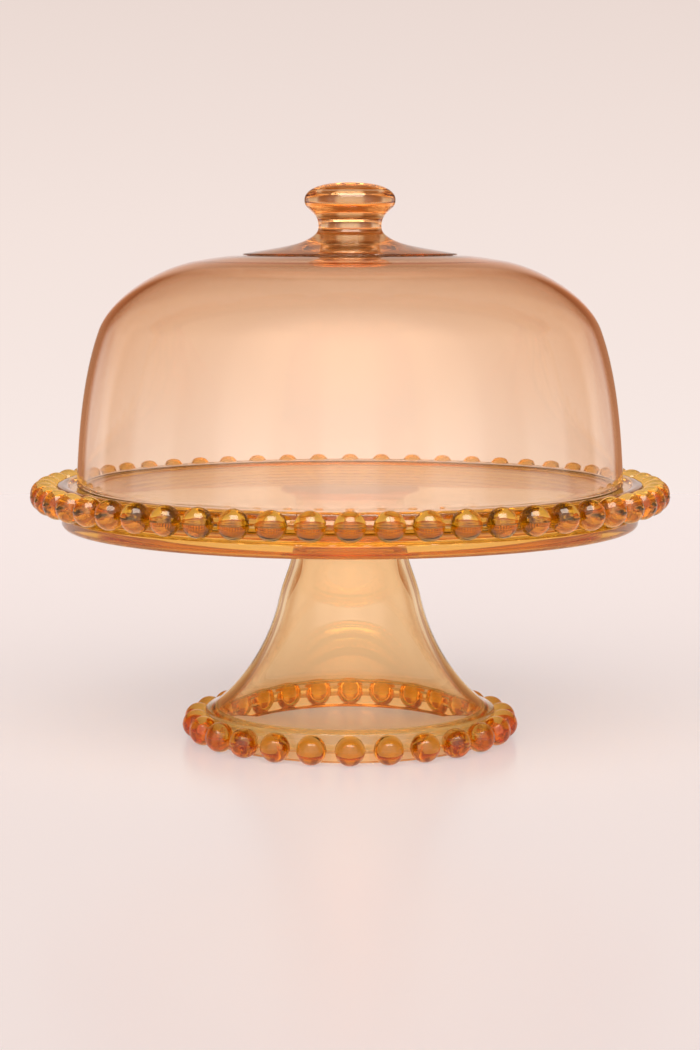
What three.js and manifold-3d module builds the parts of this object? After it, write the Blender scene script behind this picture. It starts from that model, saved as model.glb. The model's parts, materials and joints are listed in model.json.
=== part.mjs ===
// Footed cake stand with a lift-off dome, in amber pressed glass.
// Millimetres, +Z up, origin at the centre of the foot, on the table plane.

import * as THREE from 'three';
import { mergeVertices } from 'three/addons/utils/BufferGeometryUtils.js';
import Module from 'manifold-3d';

const wasm = await Module();
wasm.setup();

// ---- driving dimensions -------------------------------------------------------------

const BEAD_RADIUS = 6.6;
const BEAD_SIDES = 8;
const BEAD_RINGS = 4;

const WEB_REACH = 2.4;                // ridge that joins the beads at their middle height

const PLATE_BEADS = 54;
const PLATE_BEAD_CIRCLE = 143.4;      // radius of the circle through the bead centres
const PLATE_BEAD_HEIGHT = 116.4;      // height of the bead centres
const PLATE_TOP = 120;                // flat ring that the dome stands on
const PLATE_THICKNESS = 6;
const WELL_RADIUS = 119;              // flat middle that carries the cake
const WELL_DEPTH = 0.5;
const LIP_INNER = 131.4;              // inside foot of the low lip that centres the dome
const LIP_HEIGHT = 1.5;
const WELL_SLOPE = 1.5;               // width of the slope round the well
const LIP_SLOPE = 1.4;                // width of the lip's inner slope
const RIM_RADIUS = 138;               // plate edge between the beads
const RIM_CHAMFER = 1.6;
const SKIRT_RADIUS = 135.8;           // outermost radius of the thick ring under the plate
const SKIRT_INNER = 118;
const SKIRT_BOTTOM = 101.4;
const SKIRT_STEP = 108;               // height of the step above the skirt's bulge
const SKIRT_STEP_DEPTH = 3.2;
const SKIRT_FILLET = 4;               // between the underside of the plate and the skirt

const FOOT_BEADS = 26;
const FOOT_BEAD_CIRCLE = 73;
const FOOT_BEAD_HEIGHT = 6.9;
const FOOT_WALL = 69;                 // outer wall of the foot ring, behind the beads
const FOOT_INNER = 60;
const FOOT_LEDGE = 14;                // top of the foot ring
const LEDGE_WIDTH = 2.5;
const FLARE_RADIUS = 34;              // where the flare meets the stem
const FLARE_HEIGHT = 65;
const NECK_RADIUS = 26.4;
const NECK_HEIGHT = 96;
const COLLAR_RADIUS = 33;             // flat top of the pedestal, under the plate
const COLLAR_EDGE = 3;                // height of the collar's upright edge
const PEDESTAL_WALL = 3.8;

const DOME_RADIUS = 128.4;            // outside of the dome at its rim
const DOME_WALL = 3;
const DOME_EDGE = 1;                  // height of the rounded edge that stands on the plate
const SHOULDER_RADIUS = 117.4;        // where the wall turns into the shoulder
const SHOULDER_HEIGHT = 193.1;
const SLOPE_RADIUS = 71.1;            // where the shoulder turns into the crown
const SLOPE_HEIGHT = 225.2;
const CROWN_HEIGHT = 227.6;           // flat pad on top of the dome
const CROWN_RADIUS = 50.5;
const DOME_CLEARANCE = 0.1;           // dome rim above the plate

const KNOB_TOP = 261.5;
const KNOB_RADIUS = 21.3;
const KNOB_WIDEST = 253.2;            // height of the knob's greatest width
const KNOB_WAIST = 14.7;
const KNOB_WAIST_HEIGHT = 241;
const KNOB_NECK = 19.5;               // where the flange's slope turns up into the waist
const KNOB_NECK_HEIGHT = 235.2;
const FLANGE_RADIUS = 50.3;
const FLANGE_EDGE = 0.4;

const BOND_THICKNESS = 0.3;           // cured adhesive film between two glass pieces
const BOND_CLEARANCE = 0.05;
const BOND_MARGIN = 1;                // film's edge in from the edge of the glass, at the plate
const KNOB_BOND_MARGIN = 2;

const CURVE_STEPS = 4;
const FLAT_STEPS = 3;
const WIDE_SIDES = 48;                // facets round the dome
const NARROW_SIDES = 32;              // facets round the pedestal, the knob and the bonds

const UNDERSIDE = PLATE_TOP - PLATE_THICKNESS;
const PEDESTAL_TOP = UNDERSIDE - BOND_THICKNESS;
const KNOB_BASE = CROWN_HEIGHT + BOND_THICKNESS;

// ---- helpers ------------------------------------------------------------------------

const point = (radius, height) => new THREE.Vector2(radius, height);

// Points along a cubic curve through (radius, height) control points, without its start.
function sweep(controls, steps = CURVE_STEPS) {
  const curve = new THREE.CubicBezierCurve(...controls);
  return curve.getPoints(steps).slice(1);
}

// The same curve moved sideways by a wall thickness, to the left of its direction.
function offsetSweep(controls, distance, steps = CURVE_STEPS) {
  const curve = new THREE.CubicBezierCurve(...controls);
  const places = Array.from({ length: steps + 1 }, (_, i) => i / steps);
  return places.map((t) => {
    const along = curve.getTangent(t);
    return curve.getPoint(t).add(point(-along.y, along.x).multiplyScalar(distance));
  });
}

// Drops normals and uvs, merges shared vertices and removes the zero-area faces on the axis.
function weld(geometry) {
  geometry.deleteAttribute('normal');
  geometry.deleteAttribute('uv');
  const merged = mergeVertices(geometry, 1e-4);
  const corners = merged.index.array;
  const kept = [];
  for (let i = 0; i < corners.length; i += 3) {
    const [a, b, c] = corners.slice(i, i + 3);
    if (a !== b && b !== c && c !== a) kept.push(a, b, c);
  }
  merged.setIndex(kept);
  return merged;
}

// Solid of revolution about +Z. The outline runs anticlockwise with radius to the right.
function revolve(outline, segments) {
  const lathe = new THREE.LatheGeometry(outline, segments);
  lathe.rotateX(Math.PI / 2);
  return weld(lathe);
}

function toManifold(geometry) {
  const vertProperties = new Float32Array(geometry.attributes.position.array);
  const triVerts = new Uint32Array(geometry.index.array);
  return new wasm.Manifold(new wasm.Mesh({ numProp: 3, vertProperties, triVerts }));
}

function toGeometry(solid) {
  const mesh = solid.getMesh();
  const geometry = new THREE.BufferGeometry();
  geometry.setAttribute('position', new THREE.BufferAttribute(mesh.vertProperties, 3));
  geometry.setIndex(new THREE.BufferAttribute(mesh.triVerts, 1));
  return geometry;
}

// Joins an evenly spaced ring of beads to a body. The first bead is half a pitch off +X.
function addBeads(body, count, circle, height) {
  let solid = toManifold(body);
  for (let i = 0; i < count; i += 1) {
    const angle = ((i + 0.5) / count) * 2 * Math.PI;
    const bead = new THREE.SphereGeometry(BEAD_RADIUS, BEAD_SIDES, BEAD_RINGS);
    bead.rotateX(Math.PI / 2);
    bead.translate(circle, 0, height);
    bead.rotateZ(angle);
    solid = solid.add(toManifold(weld(bead)));
  }
  return toGeometry(solid);
}

// ---- materials ----------------------------------------------------------------------

function pressedGlass() {
  return new THREE.MeshStandardMaterial({
    color: 0xd98a2b, roughness: 0.08, metalness: 0, transparent: true, opacity: 0.6,
  });
}

function paleGlass() {
  return new THREE.MeshStandardMaterial({
    color: 0xf2bd92, roughness: 0.06, metalness: 0, transparent: true, opacity: 0.4,
  });
}

function clearAdhesive() {
  return new THREE.MeshStandardMaterial({
    color: 0xf3e3c8, roughness: 0.2, metalness: 0, transparent: true, opacity: 0.5,
  });
}

// ---- sub-parts ----------------------------------------------------------------------

// Plate: a disc with a shallow well inside the dome's seat, a low lip round the seat, beads on
// the edge and a thick skirt below.
function makePlate() {
  const lipTop = PLATE_TOP + LIP_HEIGHT;
  const outline = [
    point(0, UNDERSIDE),
    point(COLLAR_RADIUS, UNDERSIDE),
    point(SKIRT_INNER - SKIRT_FILLET, UNDERSIDE),
    ...sweep([
      point(SKIRT_INNER - SKIRT_FILLET, UNDERSIDE), point(SKIRT_INNER - 1, UNDERSIDE),
      point(SKIRT_INNER, UNDERSIDE - 2), point(SKIRT_INNER, UNDERSIDE - SKIRT_FILLET - 1),
    ], FLAT_STEPS),
    point(SKIRT_INNER + 0.8, SKIRT_BOTTOM + 1),
    point(SKIRT_INNER + 2.6, SKIRT_BOTTOM),
    point(SKIRT_RADIUS - 2, SKIRT_BOTTOM),
    point(SKIRT_RADIUS - 0.4, SKIRT_BOTTOM + 1.6),
    point(SKIRT_RADIUS, SKIRT_BOTTOM + 4),
    point(SKIRT_RADIUS - 0.8, SKIRT_STEP - 0.6),
    point(SKIRT_RADIUS - SKIRT_STEP_DEPTH, SKIRT_STEP),
    point(SKIRT_RADIUS - SKIRT_STEP_DEPTH + 1, SKIRT_STEP + 4),
    point(RIM_RADIUS, PLATE_BEAD_HEIGHT - 2),
    point(RIM_RADIUS + WEB_REACH, PLATE_BEAD_HEIGHT),
    point(RIM_RADIUS, PLATE_BEAD_HEIGHT + 2),
    point(RIM_RADIUS, PLATE_TOP),
    point(RIM_RADIUS - RIM_CHAMFER, lipTop),
    point(LIP_INNER + LIP_SLOPE, lipTop),
    point(LIP_INNER, PLATE_TOP),
    point(WELL_RADIUS + WELL_SLOPE, PLATE_TOP),
    point(WELL_RADIUS, PLATE_TOP - WELL_DEPTH),
    point(0, PLATE_TOP - WELL_DEPTH),
  ];
  const body = revolve(outline, PLATE_BEADS);
  return addBeads(body, PLATE_BEADS, PLATE_BEAD_CIRCLE, PLATE_BEAD_HEIGHT);
}

// Pedestal: a hollow trumpet, open underneath, with a beaded ring as its foot.
function makePedestal() {
  const ledgeInner = point(FOOT_WALL - LEDGE_WIDTH, FOOT_LEDGE);
  const flareTop = point(FLARE_RADIUS, FLARE_HEIGHT);
  const neck = point(NECK_RADIUS, NECK_HEIGHT);
  const collarFoot = point(COLLAR_RADIUS, PEDESTAL_TOP - COLLAR_EDGE);
  const flare = [ledgeInner, point(49, 27), point(38, 47), flareTop];
  const stem = [flareTop, point(31, 78.5), point(NECK_RADIUS, 83), neck];
  const collar = [neck, point(NECK_RADIUS, 105), point(30, PEDESTAL_TOP - 4), collarFoot];
  const hollowTop = PEDESTAL_TOP - PEDESTAL_WALL - COLLAR_EDGE;
  const hollowRadius = NECK_RADIUS - PEDESTAL_WALL;
  const innerStem = offsetSweep(stem, PEDESTAL_WALL).reverse();
  const innerFlare = offsetSweep(flare, PEDESTAL_WALL).reverse();
  const outline = [
    point(0, hollowTop),
    point(hollowRadius - 6, hollowTop),
    point(hollowRadius - 1, hollowTop - 3),
    ...innerStem,
    ...innerFlare.slice(1, -1),
    point(FOOT_INNER - 1, FOOT_LEDGE - 4.5),
    point(FOOT_INNER, FOOT_LEDGE - 8),
    point(FOOT_INNER, 1),
    point(FOOT_INNER + 1, 0),
    point(FOOT_WALL - 2, 0),
    point(FOOT_WALL, 2),
    point(FOOT_WALL, FOOT_BEAD_HEIGHT - 2),
    point(FOOT_WALL + WEB_REACH, FOOT_BEAD_HEIGHT),
    point(FOOT_WALL, FOOT_BEAD_HEIGHT + 2),
    point(FOOT_WALL, FOOT_LEDGE - 1.5),
    point(FOOT_WALL - 1.2, FOOT_LEDGE - 0.2),
    ledgeInner,
    ...sweep(flare),
    ...sweep(stem),
    ...sweep(collar, FLAT_STEPS),
    point(COLLAR_RADIUS, PEDESTAL_TOP),
    point(0, PEDESTAL_TOP),
  ];
  const body = revolve(outline, NARROW_SIDES);
  return addBeads(body, FOOT_BEADS, FOOT_BEAD_CIRCLE, FOOT_BEAD_HEIGHT);
}

// Outside of the dome from rim to crown: a near-upright wall, a round shoulder, a flat crown.
const DOME_CURVES = [
  [
    point(DOME_RADIUS, PLATE_TOP + DOME_EDGE), point(127.4, 146),
    point(125, 172.5), point(SHOULDER_RADIUS, SHOULDER_HEIGHT),
  ],
  [
    point(SHOULDER_RADIUS, SHOULDER_HEIGHT), point(112, 208.1),
    point(90, 222), point(SLOPE_RADIUS, SLOPE_HEIGHT),
  ],
  [
    point(SLOPE_RADIUS, SLOPE_HEIGHT), point(64, 226.4),
    point(57, CROWN_HEIGHT), point(CROWN_RADIUS, CROWN_HEIGHT),
  ],
];

function makeDome() {
  const rim = PLATE_TOP + DOME_CLEARANCE;
  const [wall, shoulder, crown] = DOME_CURVES;
  const inside = [
    ...offsetSweep(wall, DOME_WALL),
    ...offsetSweep(shoulder, DOME_WALL).slice(1),
    ...offsetSweep(crown, DOME_WALL, FLAT_STEPS).slice(1),
  ];
  const outline = [
    point(0, CROWN_HEIGHT - DOME_WALL),
    ...inside.reverse(),
    point(DOME_RADIUS - DOME_WALL + 0.6, rim),
    point(DOME_RADIUS - 0.7, rim),
    point(DOME_RADIUS, PLATE_TOP + DOME_EDGE),
    ...sweep(wall),
    ...sweep(shoulder),
    ...sweep(crown, FLAT_STEPS),
    point(0, CROWN_HEIGHT),
  ];
  return revolve(outline, WIDE_SIDES);
}

// Knob: a flat-bottomed flange that thins to its edge, a waist and a rounded head.
function makeKnob() {
  const flangeEdge = point(FLANGE_RADIUS, KNOB_BASE + FLANGE_EDGE);
  const neck = point(KNOB_NECK, KNOB_NECK_HEIGHT);
  const waist = point(KNOB_WAIST, KNOB_WAIST_HEIGHT);
  const widest = point(KNOB_RADIUS, KNOB_WIDEST);
  const outline = [
    point(0, KNOB_BASE),
    point(FLANGE_RADIUS - 0.6, KNOB_BASE),
    flangeEdge,
    ...sweep([flangeEdge, point(38, 230.8), point(26, 231.6), neck]),
    ...sweep([neck, point(16, 237.2), point(KNOB_WAIST, 238.6), waist], FLAT_STEPS),
    ...sweep([waist, point(KNOB_WAIST, 248.5), point(KNOB_RADIUS, 248), widest]),
    ...sweep([widest, point(KNOB_RADIUS, 257), point(17, KNOB_TOP), point(0, KNOB_TOP)]),
  ];
  return revolve(outline, NARROW_SIDES);
}

// Thin disc of adhesive between two flat glass faces.
function makeBond(radius, bottom) {
  const low = bottom + BOND_CLEARANCE;
  const high = bottom + BOND_THICKNESS - BOND_CLEARANCE;
  const outline = [point(0, low), point(radius, low), point(radius, high), point(0, high)];
  return revolve(outline, NARROW_SIDES);
}

// ---- assembly -----------------------------------------------------------------------

function named(name, geometry, material) {
  geometry.computeVertexNormals();
  const mesh = new THREE.Mesh(geometry, material);
  mesh.name = name;
  return mesh;
}

const stand = new THREE.Group();
stand.add(named('plate', makePlate(), pressedGlass()));
stand.add(named('pedestal', makePedestal(), pressedGlass()));
stand.add(named('plate_bond', makeBond(COLLAR_RADIUS - BOND_MARGIN, PEDESTAL_TOP), clearAdhesive()));

const cover = new THREE.Group();
cover.add(named('dome', makeDome(), paleGlass()));
cover.add(named('knob', makeKnob(), pressedGlass()));
cover.add(named('knob_bond', makeBond(FLANGE_RADIUS - KNOB_BOND_MARGIN, CROWN_HEIGHT), clearAdhesive()));

const cakeStand = new THREE.Group();
cakeStand.add(stand, cover);

export default cakeStand;
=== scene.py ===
"""Footed amber-glass cake stand with a lift-off dome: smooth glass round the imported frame."""

import json
import math

import bmesh
import bpy
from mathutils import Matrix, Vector

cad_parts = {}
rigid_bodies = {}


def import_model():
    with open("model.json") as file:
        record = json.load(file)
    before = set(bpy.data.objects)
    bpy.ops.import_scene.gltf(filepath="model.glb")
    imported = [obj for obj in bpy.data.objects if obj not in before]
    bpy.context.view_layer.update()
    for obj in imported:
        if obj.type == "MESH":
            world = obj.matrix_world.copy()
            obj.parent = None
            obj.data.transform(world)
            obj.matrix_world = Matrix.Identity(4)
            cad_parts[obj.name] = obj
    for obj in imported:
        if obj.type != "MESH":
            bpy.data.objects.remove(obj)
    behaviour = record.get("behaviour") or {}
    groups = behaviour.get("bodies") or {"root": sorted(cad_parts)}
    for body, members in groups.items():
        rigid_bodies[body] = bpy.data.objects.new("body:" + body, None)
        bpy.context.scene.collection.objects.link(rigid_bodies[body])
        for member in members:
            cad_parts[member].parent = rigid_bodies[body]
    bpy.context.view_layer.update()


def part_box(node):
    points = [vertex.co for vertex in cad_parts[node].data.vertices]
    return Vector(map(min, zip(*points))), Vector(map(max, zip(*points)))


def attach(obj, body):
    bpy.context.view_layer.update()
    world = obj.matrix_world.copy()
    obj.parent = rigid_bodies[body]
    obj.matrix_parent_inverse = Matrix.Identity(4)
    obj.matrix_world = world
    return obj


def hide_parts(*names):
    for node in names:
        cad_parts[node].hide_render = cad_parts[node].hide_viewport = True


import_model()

MM = 0.001

# ---- sizes, in millimetres, taken from the frame where it holds them -----------------------

PLATE_LOW, PLATE_HIGH = (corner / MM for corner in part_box("plate"))
FOOT_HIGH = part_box("pedestal")[1] / MM
DOME_LOW, DOME_HIGH = (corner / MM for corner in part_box("dome"))
KNOB_LOW, KNOB_HIGH = (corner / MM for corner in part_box("knob"))

BEAD_REACH = 6.6                    # from a bead's centre to its edge in the frame
BEAD = 6.85                         # radius of the smooth bead
MOULD_LINE = 0.12                   # height of the line round it
BEAD_SIDES = 40
BEAD_STEPS = 32

PLATE_BEADS = 54
PLATE_CIRCLE = PLATE_HIGH.y - BEAD_REACH
PLATE_BEAD_Z = PLATE_HIGH.z - BEAD_REACH
PLATE_TOP = DOME_LOW.z - 0.1        # flat ring that the dome stands on
UNDERSIDE = PLATE_TOP - 6
SKIRT = 135.8                       # outermost radius of the thick ring under the plate
SKIRT_INNER = 118.0
SKIRT_BOTTOM = PLATE_LOW.z
SKIRT_STEP = 108                    # height of the step above the skirt's bulge
RIM = 138.0                         # plate edge between the beads
LIP = 131.4                         # inside foot of the low lip that centres the dome
WELL = 119.0                        # radius of the flat middle
WELL_DEPTH = 0.5
RIDGE = 2.0                         # half the height of the ridge that joins the beads

FOOT_BEADS = 26
FOOT_CIRCLE = FOOT_HIGH.y - BEAD_REACH
FOOT_BEAD_Z = 6.9
FOOT_WALL = 69                      # outer wall of the foot ring, behind the beads
FOOT_INNER = 60
FOOT_LEDGE = 14                     # top of the foot ring
FLARE = (34, 65)                    # where the flare meets the stem
NECK = (26.4, 96)
COLLAR = 33                         # radius of the flat top, under the plate
COLLAR_TOP = FOOT_HIGH.z
PEDESTAL_WALL = 3.8

DOME_RADIUS = DOME_HIGH.x
DOME_WALL = 3.0
DOME_EDGE = 1.5                     # height of the rounded edge that stands on the plate
RIM_SHARE = 0.70                    # wall at the rim, as a share of DOME_WALL
CROWN_GAIN = 0.36                   # what is added to that share by the crown
SHOULDER = (117.4, 193.1)           # where the wall turns into the shoulder
SLOPE = (71.1, 225.2)               # where the shoulder turns into the crown
CROWN = DOME_HIGH.z
CROWN_RADIUS = 50.5

KNOB_BASE = KNOB_LOW.z
KNOB_TOP = KNOB_HIGH.z
KNOB_NECK = (19.5, 235.2)           # where the flange's slope turns up into the waist
KNOB_WAIST = (14.7, 241)
KNOB_WIDEST = (21.3, 253.2)
FLANGE = KNOB_HIGH.x
FLANGE_EDGE = 0.35

# ---- setting, in metres and watts -----------------------------------------------------------

FLOOR_REACH = 1.15                  # radius of the floor
EYE_DISTANCE = 1.2036
EYE_HEIGHT = 0.24055
AIM_HEIGHT = 0.10065                # height on the stand's axis that the camera aims at
LENS = 87.8                         # millimetres, on a frame 36 mm high

SOFTBOX_PLACE = (0.05, -0.62, 1.06)
SOFTBOX_AIM = (0, 0, 0.1)
SOFTBOX_SIZE = (1.0, 0.7)
SOFTBOX_POWER = 18
SOFTBOX_COLOUR = (1.0, 0.88, 0.78)

# Sky colours by the height of the direction, from just under the horizon to straight up.
SKY_LOW = -0.2
SKY = [
    (-0.12, (0.95, 0.83, 0.79)),
    (0.00, (0.90, 0.77, 0.72)),
    (0.10, (0.82, 0.69, 0.64)),
    (0.17, (0.68, 0.52, 0.44)),
    (0.30, (0.52, 0.36, 0.27)),
    (0.60, (0.36, 0.23, 0.15)),
    (1.00, (0.20, 0.12, 0.08)),
]
PANELS = 8                          # pale panels round the studio, with dim gaps between them
PANEL_GAP = (0.50, 0.29, 0.17)      # colour that a gap multiplies the sky by
# Soft lights in the sky: azimuth, elevation, inner and outer angle in degrees, colour.
GLOWS = [
    (-90, 12, 10, 85, (1.45, 1.14, 0.98)),
    (-90, 50, 5, 45, (0.95, 0.76, 0.60)),
]


# ---- outlines -------------------------------------------------------------------------------

def bezier(p0, p1, p2, p3, steps):
    """Points along a cubic curve, without its start."""
    points = []
    for i in range(1, steps + 1):
        t = i / steps
        u = 1 - t
        weights = (u ** 3, 3 * u * u * t, 3 * u * t * t, t ** 3)
        controls = (p0, p1, p2, p3)
        points.append(tuple(sum(w * p[k] for w, p in zip(weights, controls)) for k in (0, 1)))
    return points


def smoothstep(value, low, high):
    """0 up to low, 1 from high on, with a smooth rise between."""
    t = max(0.0, min(1.0, (value - low) / (high - low)))
    return t * t * (3 - 2 * t)


def offset(points, distance):
    """The polyline moved to the left of its direction by distance."""
    moved = []
    for i, (x, y) in enumerate(points):
        ax, ay = points[max(i - 1, 0)]
        bx, by = points[min(i + 1, len(points) - 1)]
        length = math.hypot(bx - ax, by - ay)
        moved.append((x - (by - ay) / length * distance, y + (bx - ax) / length * distance))
    return moved


def rounded(corners, step=0.5):
    """An outline from (radius, height, fillet) corners. Each side of a fillet is about step mm."""
    outline = []
    count = len(corners)
    for i, (x, y, fillet) in enumerate(corners):
        if not fillet:
            outline.append((x, y))
            continue
        before, here, after = (Vector(corners[(i + k) % count][:2]) for k in (-1, 0, 1))
        back, ahead = (before - here), (after - here)
        back_way, ahead_way = back.normalized(), ahead.normalized()
        half = math.acos(max(-1.0, min(1.0, back_way.dot(ahead_way)))) / 2
        reach = min(fillet / math.tan(half), 0.49 * back.length, 0.49 * ahead.length)
        radius = reach * math.tan(half)
        centre = here + (back_way + ahead_way).normalized() * (radius / math.sin(half))
        start, end = here + back_way * reach - centre, here + ahead_way * reach - centre
        turn = start.angle_signed(end)
        sides = max(2, math.ceil(abs(turn) * radius / step), math.ceil(abs(turn) / 0.2))
        for k in range(sides + 1):
            a = -turn * k / sides
            outline.append((
                centre.x + start.x * math.cos(a) - start.y * math.sin(a),
                centre.y + start.x * math.sin(a) + start.y * math.cos(a),
            ))
    return outline


# ---- meshes ---------------------------------------------------------------------------------

def revolve(name, outline, sides):
    """A closed solid of revolution about +Z. The outline runs anticlockwise, in millimetres."""
    mesh = bmesh.new()
    rings = []
    for radius, height in outline:
        if radius < 1e-6:
            rings.append([mesh.verts.new((0, 0, height * MM))] * sides)
            continue
        rings.append([
            mesh.verts.new((
                radius * MM * math.cos(2 * math.pi * k / sides),
                radius * MM * math.sin(2 * math.pi * k / sides),
                height * MM,
            ))
            for k in range(sides)
        ])
    on_axis = outline[0][0] < 1e-6
    last = len(rings) - 1 if on_axis else len(rings)
    for i in range(last):
        low, high = rings[i], rings[(i + 1) % len(rings)]
        for k in range(sides):
            m = (k + 1) % sides
            corners = [low[k], low[m], high[m], high[k]]
            unique = [v for j, v in enumerate(corners) if v is not corners[j - 1]]
            if len(unique) > 2:
                mesh.faces.new(unique)
    data = bpy.data.meshes.new(name)
    mesh.to_mesh(data)
    mesh.free()
    data.shade_smooth()
    piece = bpy.data.objects.new(name, data)
    bpy.context.scene.collection.objects.link(piece)
    return piece


def bead_outline():
    """Half a sphere's outline, with the fine raised line that the two halves of the mould leave."""
    outline = []
    for i in range(BEAD_STEPS + 1):
        angle = -math.pi / 2 + math.pi * i / BEAD_STEPS
        reach = BEAD + (MOULD_LINE if i == BEAD_STEPS // 2 else 0.0)
        outline.append((reach * math.cos(angle), reach * math.sin(angle)))
    outline[0] = (0.0, -BEAD)
    outline[-1] = (0.0, BEAD)
    return outline


def add_beads(piece, count, circle, height):
    """Joins an evenly spaced ring of beads to a piece. The first is half a pitch off +X."""
    group = bpy.data.collections.new(piece.name + "_beads")
    bpy.context.scene.collection.children.link(group)
    for i in range(count):
        angle = 2 * math.pi * (i + 0.5) / count
        bead = revolve(f"bead_{i}", bead_outline(), BEAD_SIDES)
        bpy.context.scene.collection.objects.unlink(bead)
        group.objects.link(bead)
        bead.rotation_euler.z = angle
        bead.location = (circle * MM * math.cos(angle), circle * MM * math.sin(angle), height * MM)
    join = piece.modifiers.new("beads", "BOOLEAN")
    join.operation = "UNION"
    join.operand_type = "COLLECTION"
    join.collection = group
    join.solver = "MANIFOLD"
    bpy.context.view_layer.update()
    joined = bpy.data.meshes.new_from_object(
        piece.evaluated_get(bpy.context.evaluated_depsgraph_get())
    )
    piece.modifiers.clear()
    piece.data = joined
    piece.data.shade_smooth()
    piece.data.set_sharp_from_angle(angle=math.radians(35))
    for bead in list(group.objects):
        bpy.data.objects.remove(bead)
    bpy.data.collections.remove(group)


# ---- pieces ---------------------------------------------------------------------------------

def make_plate():
    well_floor = PLATE_TOP - WELL_DEPTH
    corners = [
        (0, UNDERSIDE, 0),
        (SKIRT_INNER, UNDERSIDE, 4.5),
        (SKIRT_INNER + 0.8, SKIRT_BOTTOM, 2.4),
        (SKIRT - 0.4, SKIRT_BOTTOM, 2.6),
        (SKIRT + 0.2, SKIRT_STEP, 1.2),
        (SKIRT - 3.2, SKIRT_STEP + 0.2, 0.8),
        (SKIRT - 2.2, SKIRT_STEP + 4, 3),
        (RIM, PLATE_BEAD_Z - RIDGE, 1),
        (RIM + 2.0, PLATE_BEAD_Z, 1),
        (RIM, PLATE_BEAD_Z + RIDGE, 1),
        (RIM, PLATE_TOP + 1.2, 2.2),
        (RIM - 3.2, PLATE_TOP + 1.7, 5),
        (LIP + 1.1, PLATE_TOP + 1.3, 1.6),
        (LIP, PLATE_TOP, 1),
        (WELL + 1.5, PLATE_TOP, 0.8),
        (WELL, well_floor, 0.8),
        (0, well_floor, 0),
    ]
    plate = revolve("plate_glass", rounded(corners), 4 * PLATE_BEADS)
    add_beads(plate, PLATE_BEADS, PLATE_CIRCLE, PLATE_BEAD_Z)
    return plate


def make_pedestal():
    neck, neck_top = NECK
    flare = [(FOOT_WALL - 2.5, FOOT_LEDGE), (49, 27), (38, 47), FLARE]
    stem = [FLARE, (31, 78.5), (neck, 83), NECK]
    collar = [NECK, (neck, neck_top + 9), (30, COLLAR_TOP - 4), (COLLAR, COLLAR_TOP - 3)]
    sleeve = [flare[0]] + bezier(*flare, 24) + bezier(*stem, 16)
    inside = offset(sleeve, PEDESTAL_WALL)[::-1]
    hollow_top = COLLAR_TOP - PEDESTAL_WALL - 3
    bore = neck - PEDESTAL_WALL
    hollow_end = [
        (bore - 7, hollow_top), (bore - 2, hollow_top),
        (bore, hollow_top - 2), (bore, hollow_top - 6),
    ]
    foot = rounded([
        (FOOT_INNER, 9, 4), (FOOT_INNER, 0, 0.8), (FOOT_WALL - 1, 0, 1.6),
        (FOOT_WALL, FOOT_BEAD_Z - RIDGE, 0.6), (FOOT_WALL + 2.2, FOOT_BEAD_Z, 0.5),
        (FOOT_WALL, FOOT_BEAD_Z + RIDGE, 0.6), (FOOT_WALL, FOOT_LEDGE, 1.8),
        (FOOT_WALL - 4, FOOT_LEDGE + 0.6, 0),
    ])
    outline = [(0, hollow_top)]
    outline += bezier(*hollow_end, 8)
    outline += inside[:-1]
    outline += foot[1:-1]
    outline += sleeve[1:]
    outline += bezier(*collar, 10)
    outline += [(COLLAR, COLLAR_TOP - 0.4), (COLLAR - 0.4, COLLAR_TOP), (0, COLLAR_TOP)]
    pedestal = revolve("pedestal_glass", outline, 8 * FOOT_BEADS)
    add_beads(pedestal, FOOT_BEADS, FOOT_CIRCLE, FOOT_BEAD_Z)
    return pedestal


def dome_inside(outer):
    """The dome's inner outline. The wall is thinnest at the rim and thickest at the crown."""
    moved = []
    for (x, z), (thin_x, thin_z) in zip(outer, offset(outer, 1.0)):
        up = (z - outer[0][1]) / (CROWN - outer[0][1])
        wall = DOME_WALL * (RIM_SHARE + CROWN_GAIN * smoothstep(up, 0.1, 0.9))
        moved.append((x + (thin_x - x) * wall, z + (thin_z - z) * wall))
    return moved


def make_dome():
    edge_z = DOME_LOW.z + DOME_EDGE
    start = (DOME_RADIUS, edge_z)
    outer = [start]
    outer += bezier(start, (127.4, 146), (125, 172.5), SHOULDER, 30)
    outer += bezier(SHOULDER, (112, 208.1), (90, 222), SLOPE, 40)
    outer += bezier(SLOPE, (64, 226.4), (57, CROWN), (CROWN_RADIUS, CROWN), 12)
    inner = dome_inside(outer)[::-1]
    outline = [(0, inner[0][1])] + inner
    foot = DOME_RADIUS - inner[-1][0]
    middle = DOME_RADIUS - foot / 2
    for i in range(1, 10):
        angle = math.pi + math.pi * i / 10
        outline.append((
            middle + foot / 2 * math.cos(angle), edge_z + DOME_EDGE * math.sin(angle),
        ))
    outline += outer + [(0, CROWN)]
    return revolve("dome_glass", outline, 256)


def make_knob():
    edge_top = KNOB_BASE + FLANGE_EDGE
    waist, widest = KNOB_WAIST[0], KNOB_WIDEST[0]
    outline = [(0, KNOB_BASE), (FLANGE - 0.5, KNOB_BASE), (FLANGE, edge_top)]
    outline += bezier((FLANGE, edge_top), (38, 230.8), (26, 231.6), KNOB_NECK, 24)
    outline += bezier(KNOB_NECK, (16, 237.2), (waist, 238.6), KNOB_WAIST, 12)
    outline += bezier(KNOB_WAIST, (waist, 248.5), (widest, 248), KNOB_WIDEST, 20)
    outline += bezier(KNOB_WIDEST, (widest, 257), (17, KNOB_TOP), (0, KNOB_TOP), 24)
    return revolve("knob_glass", outline, 160)


def make_bond(name, node):
    low, high = (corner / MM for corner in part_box(node))
    corners = [(0, low.z, 0), (high.x, low.z, 0.08), (high.x, high.z, 0.08), (0, high.z, 0)]
    return revolve(name, rounded(corners, 0.1), 128)


# ---- materials ------------------------------------------------------------------------------

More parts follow.
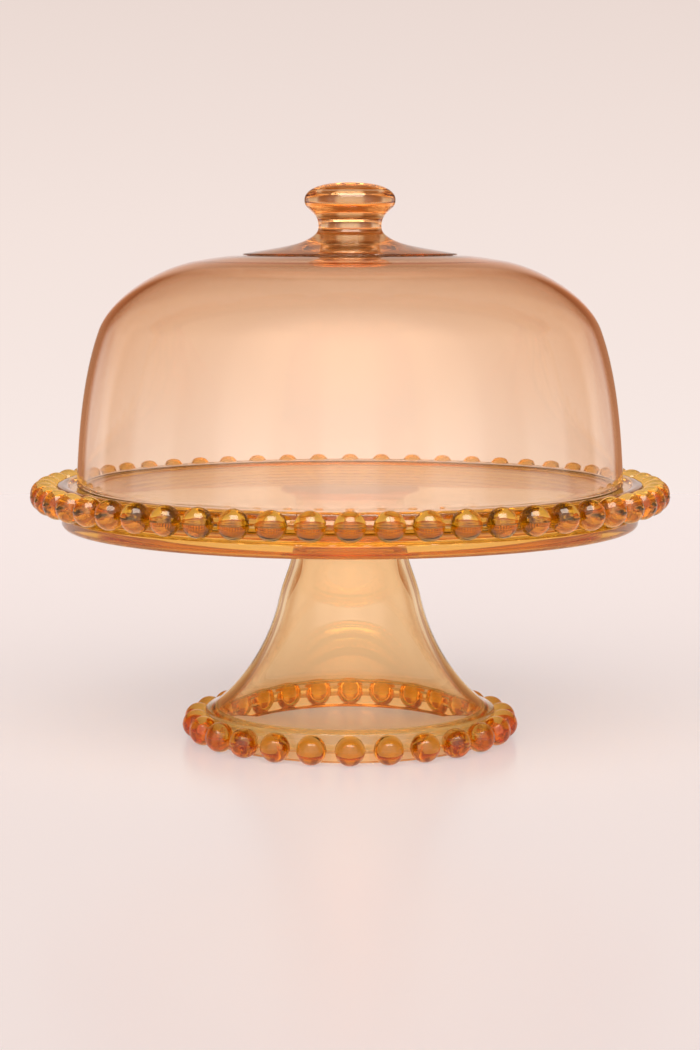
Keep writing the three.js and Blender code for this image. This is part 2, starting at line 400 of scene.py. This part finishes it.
def fill_ramp(ramp, stops):
    """Gives a colour ramp its (position, colour) stops, from low to high."""
    elements = ramp.color_ramp.elements
    while len(elements) < len(stops):
        elements.new(0.5)
    for element, (position, colour) in zip(elements, stops):
        element.position = position
        element.color = (*colour, 1)


def vector_math(nodes, operation):
    node = nodes.new("ShaderNodeVectorMath")
    node.operation = operation
    return node


def glass(name, absorbed, tints=((0, (1, 1, 1)),), wave=0.00012, wave_scale=26.0, smear=0.05):
    """Clear glass that absorbs light by depth, with a fire-polished ripple and faint wiping marks.

    absorbed is the coefficient per metre for red, green and blue. tints are the colours of the
    surface by its distance from the axis in millimetres: painted shade, deeper on the thick rings
    and beads, which look deeper because light is dimmed along long paths through them.
    wave is the ripple's depth in metres, and smear is the roughest that the marks get.
    """
    material = bpy.data.materials.new(name)
    material.use_nodes = True
    tree = material.node_tree
    nodes, links = tree.nodes, tree.links
    nodes.clear()
    output = nodes.new("ShaderNodeOutputMaterial")
    shader = nodes.new("ShaderNodeBsdfPrincipled")
    shader.inputs["Base Color"].default_value = (*tints[0][1], 1)
    shader.inputs["Transmission Weight"].default_value = 1
    shader.inputs["IOR"].default_value = 1.5
    links.new(shader.outputs["BSDF"], output.inputs["Surface"])
    place = nodes.new("ShaderNodeTexCoord")
    # The colour by distance from the axis is painted shade: deeper on the thick rings and beads,
    # for light dimmed along long paths through the glass.
    if len(tints) > 1:
        reach = tints[-1][0]
        level = vector_math(nodes, "MULTIPLY")
        level.inputs[1].default_value = (1, 1, 0)
        links.new(place.outputs["Object"], level.inputs[0])
        radius = vector_math(nodes, "LENGTH")
        links.new(level.outputs["Vector"], radius.inputs[0])
        share = nodes.new("ShaderNodeMapRange")
        share.inputs["From Max"].default_value = reach * MM
        links.new(radius.outputs["Value"], share.inputs["Value"])
        ramp = nodes.new("ShaderNodeValToRGB")
        links.new(share.outputs["Result"], ramp.inputs["Fac"])
        links.new(ramp.outputs["Color"], shader.inputs["Base Color"])
        fill_ramp(ramp, [(distance / reach, colour) for distance, colour in tints])

    volume = nodes.new("ShaderNodeVolumeAbsorption")
    density = max(absorbed)
    volume.inputs["Color"].default_value = (*[1 - a / density for a in absorbed], 1)
    volume.inputs["Density"].default_value = density
    links.new(volume.outputs["Volume"], output.inputs["Volume"])

    ripple = nodes.new("ShaderNodeTexNoise")
    ripple.inputs["Scale"].default_value = wave_scale
    ripple.inputs["Detail"].default_value = 1.5
    links.new(place.outputs["Object"], ripple.inputs["Vector"])
    bump = nodes.new("ShaderNodeBump")
    bump.inputs["Strength"].default_value = 1
    bump.inputs["Distance"].default_value = wave
    links.new(ripple.outputs["Fac"], bump.inputs["Height"])
    links.new(bump.outputs["Normal"], shader.inputs["Normal"])

    marks = nodes.new("ShaderNodeTexNoise")
    marks.inputs["Scale"].default_value = 14
    marks.inputs["Detail"].default_value = 5
    marks.inputs["Distortion"].default_value = 1.5
    links.new(place.outputs["Object"], marks.inputs["Vector"])
    spread = nodes.new("ShaderNodeMapRange")
    spread.inputs["From Min"].default_value = 0.45
    spread.inputs["From Max"].default_value = 0.75
    spread.inputs["To Min"].default_value = 0.0
    spread.inputs["To Max"].default_value = smear
    links.new(marks.outputs["Fac"], spread.inputs["Value"])
    links.new(spread.outputs["Result"], shader.inputs["Roughness"])
    return material


def floor_material():
    material = bpy.data.materials.new("pale_floor")
    material.use_nodes = True
    tree = material.node_tree
    shader = tree.nodes["Principled BSDF"]
    shader.inputs["Base Color"].default_value = (0.73, 0.76, 0.81, 1)
    shader.inputs["Roughness"].default_value = 0.22
    shader.inputs["Specular IOR Level"].default_value = 0.4
    shader.inputs["Emission Color"].default_value = (0.82, 0.89, 1.0, 1)
    shader.inputs["Emission Strength"].default_value = 0.34
    return material


# ---- setting --------------------------------------------------------------------------------

def make_camera():
    data = bpy.data.cameras.new("camera")
    data.lens = LENS
    data.sensor_fit = "VERTICAL"
    data.sensor_height = 36
    data.sensor_width = 24
    camera = bpy.data.objects.new("camera", data)
    camera.location = (0, -EYE_DISTANCE, EYE_HEIGHT)
    pitch = math.atan2(EYE_HEIGHT - AIM_HEIGHT, EYE_DISTANCE)
    camera.rotation_euler = (math.pi / 2 - pitch, 0, 0)
    bpy.context.scene.collection.objects.link(camera)
    bpy.context.scene.camera = camera


def make_highlight(pieces):
    """A softbox in front and above, for a pale highlight on each bead. It lights pieces only."""
    data = bpy.data.lights.new("softbox", "AREA")
    data.shape = "RECTANGLE"
    data.size, data.size_y = SOFTBOX_SIZE
    data.energy = SOFTBOX_POWER
    data.color = SOFTBOX_COLOUR
    softbox = bpy.data.objects.new("softbox", data)
    softbox.location = SOFTBOX_PLACE
    way = Vector(SOFTBOX_AIM) - softbox.location
    softbox.rotation_euler = way.to_track_quat("-Z", "Y").to_euler()
    softbox.visible_camera = False
    bpy.context.scene.collection.objects.link(softbox)
    lit = bpy.data.collections.new("lit_by_softbox")
    for piece in pieces:
        lit.objects.link(piece)
    softbox.light_linking.receiver_collection = lit


def make_floor():
    sides = 128
    mesh = bmesh.new()
    ring = [
        mesh.verts.new((
            FLOOR_REACH * math.cos(2 * math.pi * k / sides),
            FLOOR_REACH * math.sin(2 * math.pi * k / sides), 0,
        ))
        for k in range(sides)
    ]
    mesh.faces.new(ring)
    data = bpy.data.meshes.new("floor")
    mesh.to_mesh(data)
    mesh.free()
    data.materials.append(floor_material())
    floor = bpy.data.objects.new("floor", data)
    bpy.context.scene.collection.objects.link(floor)


def add_glow(nodes, links, way, base, azimuth, elevation, inner, outer, colour):
    """Adds a soft round light to the sky colour, at an azimuth and elevation in degrees."""
    a, e = math.radians(azimuth), math.radians(elevation)
    aim = vector_math(nodes, "DOT_PRODUCT")
    aim.inputs[1].default_value = (
        math.cos(e) * math.cos(a), math.cos(e) * math.sin(a), math.sin(e),
    )
    links.new(way, aim.inputs[0])
    fade = nodes.new("ShaderNodeMapRange")
    fade.interpolation_type = "SMOOTHSTEP"
    fade.inputs["From Min"].default_value = math.cos(math.radians(outer))
    fade.inputs["From Max"].default_value = math.cos(math.radians(inner))
    links.new(aim.outputs["Value"], fade.inputs["Value"])
    tint = vector_math(nodes, "SCALE")
    tint.inputs[0].default_value = colour
    links.new(fade.outputs["Result"], tint.inputs["Scale"])
    total = vector_math(nodes, "ADD")
    links.new(base, total.inputs[0])
    links.new(tint.outputs["Vector"], total.inputs[1])
    return total.outputs["Vector"]


def add_gaps(nodes, links, split, base):
    """Dims the sky in the gaps between the panels. The first panel's middle faces +X."""
    around = nodes.new("ShaderNodeMath")
    around.operation = "ARCTAN2"
    links.new(split.outputs["Y"], around.inputs[0])
    links.new(split.outputs["X"], around.inputs[1])
    turns = nodes.new("ShaderNodeMath")
    turns.operation = "MULTIPLY"
    turns.inputs[1].default_value = PANELS
    links.new(around.outputs["Value"], turns.inputs[0])
    wave = nodes.new("ShaderNodeMath")
    wave.operation = "COSINE"
    links.new(turns.outputs["Value"], wave.inputs[0])
    shade = nodes.new("ShaderNodeMapRange")
    shade.data_type = "FLOAT_VECTOR"
    shade.interpolation_type = "SMOOTHSTEP"
    # The vector's own sockets share the names of the plain ones, so they go by place.
    vector, from_min, from_max, to_min, to_max = list(shade.inputs)[6:11]
    from_min.default_value = (-0.5, -0.5, -0.5)
    from_max.default_value = (0.35, 0.35, 0.35)
    to_min.default_value = PANEL_GAP
    to_max.default_value = (1.0, 1.0, 1.0)
    links.new(wave.outputs["Value"], vector)
    dimmed = vector_math(nodes, "MULTIPLY")
    links.new(base, dimmed.inputs[0])
    links.new(shade.outputs["Vector"], dimmed.inputs[1])
    return dimmed.outputs["Vector"]


def make_world():
    """A pale studio: bright round the horizon, dim overhead, with soft lights in front."""
    world = bpy.data.worlds.new("studio")
    bpy.context.scene.world = world
    world.use_nodes = True
    nodes, links = world.node_tree.nodes, world.node_tree.links
    place = nodes.new("ShaderNodeTexCoord")
    way = place.outputs["Generated"]
    split = nodes.new("ShaderNodeSeparateXYZ")
    links.new(way, split.inputs["Vector"])
    height = nodes.new("ShaderNodeMapRange")
    height.inputs["From Min"].default_value = SKY_LOW
    height.inputs["From Max"].default_value = 1.0
    links.new(split.outputs["Z"], height.inputs["Value"])
    ramp = nodes.new("ShaderNodeValToRGB")
    links.new(height.outputs["Result"], ramp.inputs["Fac"])
    fill_ramp(ramp, [((z - SKY_LOW) / (1 - SKY_LOW), colour) for z, colour in SKY])
    sky = add_gaps(nodes, links, split, ramp.outputs["Color"])
    for glow in GLOWS:
        sky = add_glow(nodes, links, way, sky, *glow)
    background = nodes["Background"]
    links.new(sky, background.inputs["Color"])
    background.inputs["Strength"].default_value = 1.0


# ---- assembly -------------------------------------------------------------------------------

def place_piece(piece, material, body, node):
    piece.data.materials.clear()
    piece.data.materials.append(material)
    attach(piece, body)
    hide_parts(node)


make_camera()
make_floor()
make_world()
bpy.context.scene.view_settings.view_transform = "Standard"
bpy.context.scene.cycles.max_bounces = 32
bpy.context.scene.cycles.transmission_bounces = 32
bpy.context.scene.cycles.glossy_bounces = 16

# The tint tables paint shade onto the surface: the thick rings and beads get deeper colours, for
# light dimmed along long paths through the glass.
pressed = glass(
    "pressed_amber_glass", (1.0, 3.0, 24.0),
    tints=(
        (0, (1.0, 0.72, 0.42)), (112, (1.0, 0.72, 0.42)), (118, (0.93, 0.52, 0.15)),
        (138, (0.93, 0.52, 0.15)), (142, (0.93, 0.62, 0.22)), (150, (0.93, 0.62, 0.22)),
    ),
)
footed = glass(
    "pressed_amber_glass_foot", (1.4, 9.0, 44.0),
    tints=(
        (0, (1.0, 0.86, 0.72)), (57, (1.0, 0.86, 0.72)), (61, (1.0, 0.74, 0.50)),
        (68.5, (1.0, 0.74, 0.50)), (71, (0.92, 0.62, 0.24)), (75, (0.90, 0.55, 0.17)),
        (77.5, (0.76, 0.25, 0.012)), (80, (0.76, 0.25, 0.012)),
    ),
)
pale = glass("dome_amber_glass", (2.5, 51.0, 106.0), wave=0.00006, wave_scale=9.0)
knob_glass = glass("knob_amber_glass", (8.0, 18.0, 34.0), tints=((0, (1.0, 0.92, 0.84)),))
adhesive = glass("clear_adhesive", (2.0, 6.0, 14.0), smear=0.12)

plate, pedestal, dome, knob = make_plate(), make_pedestal(), make_dome(), make_knob()
place_piece(plate, pressed, "stand", "plate")
place_piece(pedestal, footed, "stand", "pedestal")
place_piece(make_bond("plate_bond_film", "plate_bond"), adhesive, "stand", "plate_bond")
place_piece(dome, pale, "cover", "dome")
place_piece(knob, knob_glass, "cover", "knob")
place_piece(make_bond("knob_bond_film", "knob_bond"), adhesive, "cover", "knob_bond")
make_highlight([plate, pedestal, knob])
